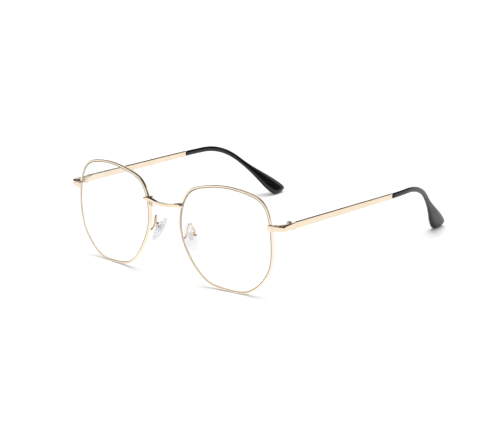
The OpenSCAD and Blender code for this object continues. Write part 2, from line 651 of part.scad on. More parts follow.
module bridge() { color(gold) settled() bridge_form(); }
module rim_left() { color(gold) settled() loft(rim_rings); }
module rim_right() { color(gold) settled() right_hand() loft(rim_rings); }
module lens_left() { color(clear) settled() loft(lens_rings, lens_mid); }
module lens_right() { color(clear) settled() right_hand() loft(lens_rings, lens_mid); }
module endpiece_left() { color(gold) settled() endpiece_form(); }
module endpiece_right() { color(gold) settled() right_hand() endpiece_form(); }
module closing_block_upper_left() { color(gold) settled() at_split() closing_block_form(1); }
module closing_block_upper_right() { color(gold) settled() right_hand() at_split() closing_block_form(1); }
module closing_block_lower_left() { color(gold) settled() at_split() closing_block_form(-1); }
module closing_block_lower_right() { color(gold) settled() right_hand() at_split() closing_block_form(-1); }
module rim_screw_left() { color(steel) settled() at_split() rim_screw_form(); }
module rim_screw_right() { color(steel) settled() right_hand() at_split() rim_screw_form(); }
module hinge_front_left() { color(gold) settled() at_hinge() hinge_front_form(); }
module hinge_front_right() { color(gold) settled() right_hand() at_hinge() hinge_front_form(); }
module hinge_rear_left() { color(gold) settled() at_hinge() hinge_rear_form(); }
module hinge_rear_right() { color(gold) settled() right_hand() at_hinge() hinge_rear_form(); }
module hinge_screw_left() { color(steel) settled() at_hinge() hinge_screw_form(); }
module hinge_screw_right() { color(steel) settled() right_hand() at_hinge() hinge_screw_form(); }
module temple_left() { color(gold) settled() at_hinge() temple_form(); }
module temple_right() { color(gold) settled() right_hand() at_hinge() temple_form(); }
module temple_tip_left() { color(black) settled() at_hinge() temple_tip_form(); }
module temple_tip_right() { color(black) settled() right_hand() at_hinge() temple_tip_form(); }
module pad_arm_left() { color(gold) settled() pad_arm_form(); }
module pad_arm_right() { color(gold) settled() right_hand() pad_arm_form(); }
module pad_box_left() { color(gold) settled() at_pad() pad_box_form(); }
module pad_box_right() { color(gold) settled() right_hand() at_pad() pad_box_form(); }
module pad_insert_left() { color(gold) settled() at_pad() pad_insert_form(); }
module pad_insert_right() { color(gold) settled() right_hand() at_pad() pad_insert_form(); }
module nose_pad_left() { color(clear) settled() at_pad() nose_pad_form(); }
module nose_pad_right() { color(clear) settled() right_hand() at_pad() nose_pad_form(); }
module pad_screw_left() { color(steel) settled() at_pad() pad_screw_form(); }
module pad_screw_right() { color(steel) settled() right_hand() at_pad() pad_screw_form(); }

rim_left();
rim_right();
lens_left();
lens_right();
bridge();
endpiece_left();
endpiece_right();
closing_block_upper_left();
closing_block_upper_right();
closing_block_lower_left();
closing_block_lower_right();
rim_screw_left();
rim_screw_right();
hinge_front_left();
hinge_front_right();
hinge_rear_left();
hinge_rear_right();
hinge_screw_left();
hinge_screw_right();
temple_left();
temple_right();
temple_tip_left();
temple_tip_right();
pad_arm_left();
pad_arm_right();
pad_box_left();
pad_box_right();
pad_insert_left();
pad_insert_right();
nose_pad_left();
nose_pad_right();
pad_screw_left();
pad_screw_right();
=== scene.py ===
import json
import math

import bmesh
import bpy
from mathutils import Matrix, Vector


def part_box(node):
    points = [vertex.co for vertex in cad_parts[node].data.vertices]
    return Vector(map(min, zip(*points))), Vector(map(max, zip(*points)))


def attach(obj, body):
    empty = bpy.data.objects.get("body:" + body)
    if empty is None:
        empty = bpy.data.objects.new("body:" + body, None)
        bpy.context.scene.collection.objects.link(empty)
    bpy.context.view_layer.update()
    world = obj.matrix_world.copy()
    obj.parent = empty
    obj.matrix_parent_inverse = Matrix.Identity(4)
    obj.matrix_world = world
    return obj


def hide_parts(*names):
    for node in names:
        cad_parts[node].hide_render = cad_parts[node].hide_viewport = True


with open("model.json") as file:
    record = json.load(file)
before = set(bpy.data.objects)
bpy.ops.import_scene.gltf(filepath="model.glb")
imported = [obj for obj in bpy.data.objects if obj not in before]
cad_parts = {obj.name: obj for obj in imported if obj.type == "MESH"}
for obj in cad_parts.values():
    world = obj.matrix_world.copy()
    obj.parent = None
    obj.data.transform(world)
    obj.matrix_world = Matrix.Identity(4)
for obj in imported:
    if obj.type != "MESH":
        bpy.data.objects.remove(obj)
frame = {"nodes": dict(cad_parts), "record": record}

# %% [markdown]
# # Wire eyeglasses with geometric lenses
# The CAD model is already in the scene, in metres, with the glasses standing open on a table.
# X runs across the face, Y back along the temples and Z up. The wearer's left is +X. The cells
# below add the looks: the camera of the photograph, soft studio light, a material for each
# finish, and finer versions of all the pieces, which stand for the CAD ones.

MM = 0.001
SIDES = {"left": 1, "right": -1}
record = frame["record"]
body_of = {node: body for body, nodes in record["behaviour"]["bodies"].items() for node in nodes}
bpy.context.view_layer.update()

# %% [markdown]
# ## Camera
# A product photographer stands well back with a long lens, so that the near rim does not look
# larger than the far one. The lens and the place were worked out from the photograph: the two
# rims are mirror images, and only one camera makes both look as they do.

# %% Camera
camera_place = Vector((0.5683, -0.7128, 0.2790))
camera_aim = Vector((-0.6062, 0.7447, -0.2792))


def add_object(name, data):
    made = bpy.data.objects.new(name, data)
    bpy.context.collection.objects.link(made)
    return made


def add_camera(place, aim, lens):
    data = bpy.data.cameras.new("camera")
    data.lens = lens
    data.sensor_width = 36
    data.clip_start = 0.05
    camera = add_object("camera", data)
    camera.location = place
    camera.rotation_euler = aim.to_track_quat("-Z", "Y").to_euler()
    bpy.context.scene.camera = camera
    return camera


camera = add_camera(camera_place, camera_aim, lens=132.4)
print("camera lens", round(camera.data.lens, 1), "mm")

# %% [markdown]
# ## White tent with an open top
# Polished metal shows its surroundings, so they matter more than the lamps. The glasses stand in
# a white tent: it is white wherever the camera, the metal or the lenses look at it. Its opening
# is a dark ring that draws the thin brown line along every upper edge of the metal. A mesh round
# the glasses would shade the table, so the world itself has the ring, for mirror reflections
# alone. Straight overhead it is white again, and metal that is seen from above stays gold. Two
# low dark cards, one at each side, give the wires a darker flank.


# %% Helpers for node trees
def feed(tree, node, inputs):
    """Gives inputs, by their names or numbers, a value or another node's output."""
    for key, value in inputs.items():
        if isinstance(value, (int, float, str, tuple)):
            node.inputs[key].default_value = value
        else:
            tree.links.new(value, node.inputs[key])
    return node


def add_node(tree, kind, inputs=None, **settings):
    node = tree.nodes.new(kind)
    for key, value in settings.items():
        setattr(node, key, value)
    return feed(tree, node, inputs or {})


def maths(tree, operation, *values, clamp=False):
    inputs = dict(enumerate(values))
    return add_node(tree, "ShaderNodeMath", inputs, operation=operation, use_clamp=clamp).outputs[0]


print("helpers for nodes")


# %% What looks at a surface
def light_path(tree):
    path = add_node(tree, "ShaderNodeLightPath")
    return [path.outputs[f"Is {kind} Ray"] for kind in ("Camera", "Glossy", "Transmission")]


def seen_by_eye(tree):
    """1 where the camera looks, straight, by a mirror or through glass, and 0 for lighting."""
    camera_ray, glossy, through = light_path(tree)
    return maths(tree, "MAXIMUM", maths(tree, "MAXIMUM", camera_ray, glossy), through)


def mirrored_only(tree):
    camera_ray, glossy, through = light_path(tree)
    return maths(tree, "SUBTRACT", glossy, through, clamp=True)


print("helpers for rays")

# %% Where the tent is dark: pairs of numbers between which it fades, up or across
RING_BELOW, RING_ABOVE = (0.31, 0.43), (0.98, 0.93)
RIGHT_CARD_EDGE, RIGHT_CARD_FOOT = (0.45, 0.62), (0.0, 0.1)
LEFT_CARD_EDGE, LEFT_CARD_FOOT = (-0.72, -0.82), (0.0, 0.08)


def between(tree, value, low, high):
    """0 below the first number and 1 above the second, eased. The numbers may be swapped."""
    ends = {"From Min": min(low, high), "From Max": max(low, high),
            "To Min": int(low > high), "To Max": int(low < high)}
    return add_node(tree, "ShaderNodeMapRange", {"Value": value, **ends},
                    interpolation_type="SMOOTHSTEP").outputs[0]


def dark_parts(tree):
    way = add_node(tree, "ShaderNodeTexCoord").outputs["Generated"]
    part = add_node(tree, "ShaderNodeSeparateXYZ", {0: way})
    x, z = part.outputs["X"], part.outputs["Z"]
    ring = maths(tree, "MULTIPLY", between(tree, z, *RING_BELOW), between(tree, z, *RING_ABOVE))
    right = maths(tree, "MULTIPLY", between(tree, x, *RIGHT_CARD_EDGE), between(tree, z, *RIGHT_CARD_FOOT))
    left = maths(tree, "MULTIPLY", between(tree, x, *LEFT_CARD_EDGE), between(tree, z, *LEFT_CARD_FOOT))
    return maths(tree, "MAXIMUM", maths(tree, "MAXIMUM", ring, right), left)


print("dark ring from", RING_BELOW[0], "to", RING_ABOVE[0], "of the way up")

# %% World
scene = bpy.context.scene
scene.view_settings.view_transform = "Standard"


def white_tent(lamp_strength, dark_colour):
    world = bpy.data.worlds.new("tent")
    world.use_nodes = True
    tree = world.node_tree
    tree.nodes.clear()
    dark = maths(tree, "MULTIPLY", dark_parts(tree), mirrored_only(tree))
    wall = add_node(tree, "ShaderNodeMix", {0: dark, 6: (1, 1, 1, 1), 7: dark_colour}, data_type="RGBA")
    white = add_node(tree, "ShaderNodeBackground", {"Color": wall.outputs[2]})
    lamp = add_node(tree, "ShaderNodeBackground", {"Strength": lamp_strength})
    both = add_node(tree, "ShaderNodeMixShader", {
        0: seen_by_eye(tree), 1: lamp.outputs[0], 2: white.outputs[0]})
    add_node(tree, "ShaderNodeOutputWorld", {"Surface": both.outputs[0]})
    scene.world = world
    return world


tent = white_tent(lamp_strength=0.42, dark_colour=(0.05, 0.038, 0.028, 1))
print("world", tent.name)

# %% [markdown]
# ## Lamp
# One large soft lamp hangs over the table, a little behind the glasses. A disc wider than its
# height over the table gives the short soft shadow under the rims and tips: a point more than a
# few millimetres up has almost none. A small lamp would draw the whole frame on the table. The
# metal doesn't mirror the lamp, as the tent gives it all its reflections.


# %% Lamp
def soft_lamp(name, place, aim, size, power):
    data = bpy.data.lights.new(name, "AREA")
    data.shape = "DISK"
    data.size = size
    data.energy = power
    lamp = add_object(name, data)
    lamp.location = place
    lamp.rotation_euler = (Vector(aim) - Vector(place)).to_track_quat("-Z", "Y").to_euler()
    lamp.visible_glossy = False
    return lamp


overhead = soft_lamp("overhead", place=(0, 0.6, 4), aim=(0, 0, 0), size=5.4, power=222)
print("lamp", overhead.data.energy, "W")

# %% [markdown]
# ## Floor
# The floor is matt white paper. Part of its white is its own light where the camera looks at
# it, and the rest is lamp light, so it reaches full white and still shows a shadow. The lamp
# reaches the far parts less, so the floor's own light grows away from the glasses.


# %% Floor
GLOW_START, GLOW_END, FAR_GLOW = 0.3, 1.6, 0.8


def add_floor(size, own_light):
    mesh = bpy.data.meshes.new("floor")
    h = size / 2
    mesh.from_pydata([(-h, -h, 0), (h, -h, 0), (h, h, 0), (-h, h, 0)], [], [(0, 1, 2, 3)])
    floor = add_object("floor", mesh)
    paper = bpy.data.materials.new("white paper")
    paper.use_nodes = True
    tree = paper.node_tree
    where = add_node(tree, "ShaderNodeTexCoord").outputs["Object"]
    reach = add_node(tree, "ShaderNodeVectorMath", {0: where}, operation="LENGTH").outputs["Value"]
    glow = maths(tree, "MULTIPLY_ADD", between(tree, reach, GLOW_START, GLOW_END), FAR_GLOW, own_light)
    feed(tree, tree.nodes["Principled BSDF"], {
        "Base Color": (0.85, 0.85, 0.85, 1), "Roughness": 0.9, "Specular IOR Level": 0.1,
        "Emission Color": (1, 1, 1, 1),
        "Emission Strength": maths(tree, "MULTIPLY", seen_by_eye(tree), glow)})
    floor.data.materials.append(paper)
    return floor


floor = add_floor(size=8.0, own_light=0.08)
print("floor", floor.dimensions.x, "m wide")

# %% [markdown]
# ## Polish, grain and wear
# No factory finish is perfectly even. One node group makes a fine grain with a few rubbed
# patches, and every finish takes its own roughness, tone and bump from it. Images could do this
# too, but they would have to be unwrapped on every piece.


# %% Grain group
def make_grain_group():
    group = bpy.data.node_groups.new("polish grain", "ShaderNodeTree")
    face = group.interface
    for name, value in (("Size", 900.0), ("Roughness", 0.15), ("Change", 0.04)):
        face.new_socket(name, in_out="INPUT", socket_type="NodeSocketFloat").default_value = value
    for name in ("Roughness", "Height", "Patches"):
        face.new_socket(name, in_out="OUTPUT", socket_type="NodeSocketFloat")
    take = add_node(group, "NodeGroupInput").outputs
    where = add_node(group, "ShaderNodeTexCoord").outputs["Object"]
    fine = add_node(group, "ShaderNodeTexNoise", {"Vector": where, "Scale": take["Size"], "Detail": 3})
    coarse = maths(group, "MULTIPLY", take["Size"], 0.12)
    broad = add_node(group, "ShaderNodeTexNoise", {"Vector": where, "Scale": coarse, "Detail": 2})
    around = maths(group, "SUBTRACT", broad.outputs["Fac"], 0.5)
    swing = maths(group, "MULTIPLY", maths(group, "MULTIPLY", around, 2.0), take["Change"])
    rough = maths(group, "ADD", take["Roughness"], swing, clamp=True)
    add_node(group, "NodeGroupOutput", {
        "Roughness": rough, "Height": fine.outputs["Fac"], "Patches": broad.outputs["Fac"]})
    return group


grain_group = make_grain_group()
print("group", grain_group.name)


# %% A finish: two tones, roughness and its change, grain size and height
def new_finish(name, dark, light, roughness, change, size, bump, metallic=0.0, clear=0.0, ior=1.5):
    material = bpy.data.materials.new(name)
    material.use_nodes = True
    tree = material.node_tree
    grain = add_node(tree, "ShaderNodeGroup", {"Size": size, "Roughness": roughness, "Change": change},
                     node_tree=grain_group).outputs
    colours = add_node(tree, "ShaderNodeMix", {0: grain["Patches"], 6: (*dark, 1), 7: (*light, 1)},
                       data_type="RGBA")
    relief = add_node(tree, "ShaderNodeBump", {
        "Strength": 0.3, "Distance": bump, "Height": grain["Height"]})
    feed(tree, tree.nodes["Principled BSDF"], {
        "Base Color": colours.outputs[2], "Roughness": grain["Roughness"], "IOR": ior,
        "Normal": relief.outputs["Normal"], "Metallic": metallic, "Transmission Weight": clear})
    return material


print("helper for finishes")

# %% [markdown]
# ## Metal finishes
# The frame is plated with pale champagne gold. The drawn wire of the rims is a little softer and
# lighter than the polished pieces, and the screws are satin, as turned metal is. A plain yellow
# would look like brass, so both tones of each finish were matched to the photograph.

# %% Metal finishes
gold = new_finish("champagne gold", (0.75, 0.61, 0.46), (0.92, 0.79, 0.63),
                  roughness=0.13, change=0.05, size=600, bump=2e-6, metallic=1)
wire = new_finish("champagne wire", (0.86, 0.73, 0.57), (0.97, 0.86, 0.70),
                  roughness=0.16, change=0.05, size=600, bump=2e-6, metallic=0.95)
screw = new_finish("satin screw", (0.62, 0.50, 0.37), (0.80, 0.69, 0.55),
                   roughness=0.25, change=0.06, size=900, bump=4e-6, metallic=1)
print("metal finishes", [m.name for m in (gold, wire, screw)])

# %% [markdown]
# ## Plastic finishes
# The tips are black plastic with a deep gloss. The lenses are coated and almost without a
# reflection, so their ground edge has a finish of its own. The pads are soft clear silicone. A
# low index of refraction keeps them pale in front of the white table, and a Layer Weight node
# paints shade into their colour toward the outline, for the darker look of a thick clear edge.
# A drawn outline would stay put when the pad turns, and this painted shade moves along.

# %% Plastic finishes
pale_core = new_finish("pale core", (0.88, 0.89, 0.90), (0.97, 0.97, 0.98),
                       roughness=0.2, change=0.08, size=700, bump=3e-6, clear=0.9, ior=1.2)
ground_edge = new_finish("ground lens edge", (0.66, 0.60, 0.50), (0.84, 0.77, 0.66),
                         roughness=0.5, change=0.1, size=900, bump=3e-6)
tip_black = new_finish("black tip", (0.003, 0.003, 0.004), (0.006, 0.006, 0.008),
                       roughness=0.10, change=0.04, size=400, bump=3e-6, ior=1.42)
clear_lens = new_finish("clear lens", (0.985, 0.99, 0.99), (1, 1, 1),
                        roughness=0.0, change=0.0, size=200, bump=1e-8, clear=1)
silicone = new_finish("clear silicone", (0.72, 0.72, 0.76), (0.82, 0.82, 0.85),
                      roughness=0.05, change=0.03, size=400, bump=1e-6, clear=0.9, ior=1.12)


# Paints shade into the base colour toward the outline, where the surface turns away from the eye.
def paint_outline_shade(material, colour, blend, power):
    tree = material.node_tree
    shader = tree.nodes["Principled BSDF"]
    tone = shader.inputs["Base Color"].links[0].from_socket
    facing = add_node(tree, "ShaderNodeLayerWeight", {"Blend": blend}).outputs["Facing"]
    # painted shade: the colour is blended to the grey toward the outline
    painted_edge_shade = add_node(tree, "ShaderNodeMix", {
        0: maths(tree, "POWER", facing, power), 6: tone, 7: (*colour, 1)}, data_type="RGBA")
    feed(tree, shader, {"Base Color": painted_edge_shade.outputs[2]})


# painted shade along the outline of the nose pads
paint_outline_shade(silicone, (0.40, 0.40, 0.44), blend=0.3, power=3.0)
print("plastic finishes", [m.name for m in (pale_core, ground_edge, tip_black, clear_lens, silicone)])

# %% [markdown]
# ## A finish for every node
# Each node of the CAD model gets the finish of its kind, left and right alike. The small plate
# in a pad can't be told from the silicone in the photograph, so it is shown as a clear core.

# %% Finish of every node
FINISH_OF = {
    "rim": wire, "bridge": gold, "endpiece": gold, "temple": gold, "pad_arm": gold, "pad_box": gold,
    "closing_block_upper": gold, "closing_block_lower": gold, "hinge_front": gold, "hinge_rear": gold,
    "rim_screw": screw, "hinge_screw": screw, "pad_screw": screw, "pad_insert": pale_core,
    "temple_tip": tip_black, "lens": clear_lens, "nose_pad": silicone,
}


def finish_of(node):
    return FINISH_OF[node.replace("_left", "").replace("_right", "")]


for name, obj in frame["nodes"].items():
    obj.data.materials.clear()
    obj.data.materials.append(finish_of(name))
print("dressed", len(frame["nodes"]), "nodes")

# %% [markdown]
# ## Handing a piece over
# A finer piece is a plain mesh that already lies in place. It gets merged points, faces that
# look outward and smooth shading that stops at real edges. Then it rides on an empty for its
# body, and it takes the place of its CAD node. The print shows both boxes.


# %% Helpers that make an object of a finished mesh
def place_piece(mesh, node, sharp=35):
    """Makes an object of a mesh that is already in place, and lets it stand for a CAD node."""
    bm = bmesh.new()
    bm.from_mesh(mesh)
    bmesh.ops.remove_doubles(bm, verts=bm.verts, dist=1e-6)
    bmesh.ops.recalc_face_normals(bm, faces=bm.faces)
    bm.to_mesh(mesh)
    bm.free()
    mesh.shade_smooth()
    mesh.set_sharp_from_angle(angle=math.radians(sharp))
    piece = add_object("fine_" + node, mesh)
    if not mesh.materials:
        mesh.materials.append(finish_of(node))
    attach(piece, body_of[node])
    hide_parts(node)
    own = [[round(end(v.co[k] for v in mesh.vertices) / MM, 2) for k in range(3)] for end in (min, max)]
    cad = [[round(v / MM, 2) for v in corner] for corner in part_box(node)]
    print(piece.name, len(mesh.polygons), "faces, box in mm", own, "CAD", cad)
    return piece


def mesh_of(bm, name):
    mesh = bpy.data.meshes.new(name)
    bm.to_mesh(mesh)
    bm.free()
    return mesh


print("helpers for pieces")

# %% [markdown]
# ## The lens shape
# Everything on the front hangs on one closed curve: the lens edge. It is a hexagon with soft
# corners, drawn here as a smooth curve near sixteen listed points, then laid on the ball-shaped
# base curve that all lenses have. Wrap and lean turn it into the face.

# %% Sizes of the front, in millimetres
LENS_WIDTH, LENS_HEIGHT, NOSE_GAP = 52, 51, 19.5
BASE_RADIUS, WRAP, LEAN = 144, 6.2, 2
RIM_DEPTH, RIM_OUTER, GROOVE_DEPTH, GROOVE_HALF, SPLIT_GAP = 1.9, 0.7, 0.4, 0.6, 0.3
LENS_THICKNESS, BEVEL_IN = 1.8, 0.06
SOLDER_GAP = 0.04
STRAP_RISE = 9.6
corners = [Vector(p) for p in (
    (26, 0), (25.5, 10.5), (22, 22), (10.5, 25), (0, 26), (-10, 24.5), (-21.5, 21.5), (-26, 10.5),
    (-26.5, 0), (-22.5, -9.5), (-17.5, -17.5), (-10, -24.5), (0, -25), (11, -26), (19.5, -19.5),
    (25.5, -10.5))]
print("lens", LENS_WIDTH, "by", LENS_HEIGHT, "mm, drawn near", len(corners), "points")


# %% Smooth closed curve and its place on the base curve
def spline(points, t):
    """Smooth curve near a closed row of points, with one step of t from point to point."""
    k = math.floor(t)
    s = t - k
    weights = ((1 - s) ** 3, 3 * s ** 3 - 6 * s * s + 4, 3 * s * s + 3 * s + 1 - 3 * s ** 3, s ** 3)
    near = [points[(k + i) % len(points)] for i in (-1, 0, 1, 2)]
    return sum((p * w for p, w in zip(near, weights)), near[0] * 0) / 6


FIVE_STEPS = [i / 5 for i in range(5 * len(corners))]
rough = [spline(corners, t) for t in FIVE_STEPS]
low_uv = Vector((min(p.x for p in rough), min(p.y for p in rough)))
high_uv = Vector((max(p.x for p in rough), max(p.y for p in rough)))
middle_uv = (low_uv + high_uv) / 2
lens_edge = [Vector(((p.x - middle_uv.x) * LENS_WIDTH / (high_uv.x - low_uv.x),
                     (p.y - middle_uv.y) * LENS_HEIGHT / (high_uv.y - low_uv.y))) for p in corners]


def on_ball(u, v, radius=BASE_RADIUS):
    return Vector((u, BASE_RADIUS - math.sqrt(radius ** 2 - u * u - v * v), v))


def groove(t):
    return on_ball(*spline(lens_edge, t))


def lens_axes(t):
    """Ways out of the lens, back through it and along its edge."""
    p = groove(t)
    back = Vector((-p.x, BASE_RADIUS - p.y, -p.z)).normalized()
    along = (groove(t + 0.01) - groove(t - 0.01)).normalized()
    return back.cross(along), back, along


face_turn = Matrix.Rotation(math.radians(WRAP), 3, "Z") @ Matrix.Rotation(math.radians(LEAN), 3, "X")
LENS_X = NOSE_GAP / 2 - min((face_turn @ groove(t)).x for t in FIVE_STEPS)


def in_face(p):
    return face_turn @ p + Vector((LENS_X, 0, 0))


def on_face(t, out, back):
    way_out, way_back = lens_axes(t)[:2]
    return in_face(groove(t) + way_out * out + way_back * back)


print("lens centre", round(LENS_X, 2), "mm from the middle")

# %% From the face frame to the table
half_depth = RIM_DEPTH / 2
WIRE_EDGES = (
    (-0.33, -half_depth), (0.55, -half_depth), (0.65, -0.8), (RIM_OUTER, -0.32), (RIM_OUTER, 0.32),
    (0.65, 0.8), (0.55, half_depth))
rim_edges = [on_face(i / 20, out, back) for i in range(20 * len(corners)) for out, back in WIRE_EDGES]
rim_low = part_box("rim_left")[0] / MM
SHIFT = Vector((0, rim_low.y - min(p.y for p in rim_edges), rim_low.z - min(p.z for p in rim_edges)))


def mirror(p, side):
    return Vector((p.x * side, p.y, p.z))


def on_table(p, side=1):
    return mirror((p + SHIFT) * MM, side)


print("face frame to table", [round(v, 2) for v in SHIFT], "mm")


# %% Where the rim is cut open
def find(reach, wanted, low, high):
    """Where a rising or falling measure reaches a value, by halving."""
    for _ in range(30):
        mid = (low + high) / 2
        if (reach(mid) < wanted) == (reach(low) < wanted):
            low = mid
        else:
            high = mid
    return (low + high) / 2


split = find(lambda t: on_face(t, 0, 0).z, STRAP_RISE, 0, 2)
half_cut = SPLIT_GAP / 2 / ((groove(split + 0.01) - groove(split - 0.01)).length / 0.02)


def edge_t(share):
    """Curve place for a share of the way round, starting and ending at the closing block."""
    return split + half_cut + share * (len(corners) - 2 * half_cut)


print("rim ends at", round(split, 3))

# %% [markdown]
# ## Rims
# A rim is drawn wire with a V groove for the lens, bent round the shape and cut open where the
# closing block holds it. A bevelled curve could follow the same line, but its section would
# turn about it. Here Geometry Nodes sweep the section: the path carries the way back as an
# attribute, which keeps the groove facing the lens all round, and the section is a circle pushed
# out into a soft rectangle, with the groove pressed in.


# %% Start and end of a Geometry Nodes tree
def new_tree(name, sizes):
    """Starts a tree with named sizes. Gives the tree, what it takes in, and its path as a curve."""
    tree = bpy.data.node_groups.new(name, "GeometryNodeTree")
    tree.interface.new_socket("Geometry", in_out="INPUT", socket_type="NodeSocketGeometry")
    for size, value in sizes.items():
        tree.interface.new_socket(size, in_out="INPUT", socket_type="NodeSocketFloat").default_value = value
    tree.interface.new_socket("Material", in_out="INPUT", socket_type="NodeSocketMaterial")
    tree.interface.new_socket("Geometry", in_out="OUTPUT", socket_type="NodeSocketGeometry")
    take = add_node(tree, "NodeGroupInput").outputs
    return tree, take, add_node(tree, "GeometryNodeMeshToCurve", {0: take["Geometry"]}).outputs[0]


def finish_tree(tree, take, curve, section):
    """Sweeps a section along a curve, with closed ends, and gives it the material."""
    sweep = add_node(tree, "GeometryNodeCurveToMesh", {
        "Curve": curve, "Profile Curve": section, "Fill Caps": True})
    real = add_node(tree, "GeometryNodeRealizeInstances", {0: sweep.outputs[0]})
    paint = add_node(tree, "GeometryNodeSetMaterial", {
        "Geometry": real.outputs[0], "Material": take["Material"]})
    add_node(tree, "NodeGroupOutput", {0: paint.outputs[0]})
    return tree


def run_tree(tree, points, values, ways=None):
    """Sweeps a tree along a row of points and gives back the plain mesh."""
    path = bpy.data.meshes.new("path")
    path.from_pydata(points, [(i, i + 1) for i in range(len(points) - 1)], [])
    if ways:
        back = path.attributes.new("back", "FLOAT_VECTOR", "POINT")
        back.data.foreach_set("vector", [v for way in ways for v in way])
    carrier = add_object("path", path)
    sweep = carrier.modifiers.new("sweep", "NODES")
    sweep.node_group = tree
    for socket in tree.interface.items_tree:
        if socket.in_out == "INPUT" and socket.name in values:
            sweep[socket.identifier] = values[socket.name]
    made = bpy.data.meshes.new_from_object(carrier.evaluated_get(bpy.context.evaluated_depsgraph_get()))
    bpy.data.objects.remove(carrier)
    return made


print("helpers for Geometry Nodes")


# %% Tree of the grooved rim wire
def soft_power(tree, value, power):
    """The size of a value to a power, with its sign kept."""
    size = maths(tree, "POWER", maths(tree, "ABSOLUTE", value), power)
    return maths(tree, "MULTIPLY", size, maths(tree, "SIGN", value))


def rim_wire_tree():
    tree, size, path = new_tree("grooved wire", {
        "Depth": RIM_DEPTH * MM, "Outside": RIM_OUTER * MM, "Groove depth": GROOVE_DEPTH * MM,
        "Groove half": GROOVE_HALF * MM, "Squareness": 0.6})
    circle = add_node(tree, "GeometryNodeCurvePrimitiveCircle", {"Resolution": 40, "Radius": 1})
    position = add_node(tree, "GeometryNodeInputPosition").outputs[0]
    x, y = add_node(tree, "ShaderNodeSeparateXYZ", {0: position}).outputs[:2]
    half_thick = maths(tree, "MULTIPLY", maths(tree, "ADD", size["Outside"], size["Groove depth"]), 0.5)
    middle = maths(tree, "SUBTRACT", size["Outside"], half_thick)
    half = maths(tree, "MULTIPLY", size["Depth"], 0.5)
    back = maths(tree, "MULTIPLY", soft_power(tree, x, size["Squareness"]), half)
    outward = soft_power(tree, y, size["Squareness"])
    out = maths(tree, "MULTIPLY_ADD", outward, half_thick, middle)
    share = maths(tree, "DIVIDE", maths(tree, "ABSOLUTE", back), size["Groove half"])
    near = maths(tree, "SUBTRACT", 1.0, share, clamp=True)
    inner = maths(tree, "LESS_THAN", y, 0.0)
    press = maths(tree, "MULTIPLY", maths(tree, "MULTIPLY", near, inner), size["Groove depth"])
    outside = maths(tree, "MULTIPLY", maths(tree, "ADD", out, press), -1.0)
    spot = add_node(tree, "ShaderNodeCombineXYZ", {0: back, 1: outside})
    section = add_node(tree, "GeometryNodeSetPosition", {
        "Geometry": circle.outputs[0], "Position": spot.outputs[0]})
    way_back = add_node(tree, "GeometryNodeInputNamedAttribute", {"Name": "back"}, data_type="FLOAT_VECTOR")
    aim = add_node(tree, "GeometryNodeSetCurveNormal", {
        "Curve": path, "Normal": way_back.outputs[0]}, mode="FREE")
    return finish_tree(tree, size, aim.outputs[0], section.outputs[0])


rim_tree = rim_wire_tree()
print("tree", rim_tree.name, "has", len(rim_tree.nodes), "nodes")

# %% Both rims
RIM_STEPS = 400
for name, side in SIDES.items():
    places = [edge_t(i / RIM_STEPS) for i in range(RIM_STEPS + 1)]
    points = [on_table(on_face(t, 0, 0), side) for t in places]
    ways = [mirror(face_turn @ lens_axes(t)[1], side) for t in places]
    if side < 0:
        points.reverse()
        ways.reverse()
    mesh = run_tree(rim_tree, points, {"Material": wire}, ways)
    place_piece(mesh, "rim_" + name, sharp=40)

# %% [markdown]
# ## Lofts
# Lenses, temples, tips, bridge and pads are all skins over a row of rings, because their
# sections change along the way, which a plain sweep can't do. One helper makes the skin and
# closes both ends, and another makes the usual section, a rectangle with round corners. Two
# extra points on each flat side keep the flats flat when the shading is smooth.


# %% Helpers for lofts
def loft(name, rings):
    """Skin over a row of rings, each with the same number of points, and over both ends."""
    count = len(rings[0])
    rows = len(rings)
    points = [p for ring in rings for p in ring]
    for ring in (rings[0], rings[-1]):
        points.append(sum(ring, Vector((0, 0, 0))) / count)
    steps = [(i, (i + 1) % count) for i in range(count)]
    faces = [(j * count + a, j * count + b, (j + 1) * count + b, (j + 1) * count + a)
             for j in range(rows - 1) for a, b in steps]
    faces += [(rows * count, b, a) for a, b in steps]
    faces += [(rows * count + 1, (rows - 1) * count + a, (rows - 1) * count + b) for a, b in steps]
    mesh = bpy.data.meshes.new(name)
    mesh.from_pydata(points, [], faces)
    return mesh


LEAST_RADIUS = 0.02


def soft_box(width, height, across, down, steps=4, inset=0.0):
    """Section points, with corner arcs that reach 'across' and 'down' from each corner."""
    width, height = width - 2 * inset, height - 2 * inset
    across, down = max(across - inset, LEAST_RADIUS), max(down - inset, LEAST_RADIUS)
    points = []
    for k, (x, y) in enumerate(((1, 1), (-1, 1), (-1, -1), (1, -1))):
        for i in range(steps + 1):
            a = math.pi / 2 * (k + i / steps)
            points.append((x * (width / 2 - across) + across * math.cos(a),
                           y * (height / 2 - down) + down * math.sin(a)))
    full = []
    for i, p in enumerate(points):
        full.append(p)
        if i % (steps + 1) == steps:
            q = points[(i + 1) % len(points)]
            full += [(p[0] + (q[0] - p[0]) * f, p[1] + (q[1] - p[1]) * f) for f in (0.05, 0.95)]
    return full


def rolled_end(edge, angles):
    """Steps along and inset of the rings that round off an end."""
    return [(edge * (1 - math.cos(a)), edge * (1 - math.sin(a))) for a in angles]


print("a soft box has", len(soft_box(2, 1, 0.2, 0.2)), "points")

# %% [markdown]
# ## Lenses
# Clear demo lenses: two ball surfaces one after the other, 1.8 mm apart, with a roof-shaped edge
# that sits in the groove. They are almost invisible, and that is right for coated clear lenses.
# The ground edge has a finish of its own, so that the groove doesn't look empty.


# %% Both lenses
LENS_AROUND, LENS_STEPS = 200, 7


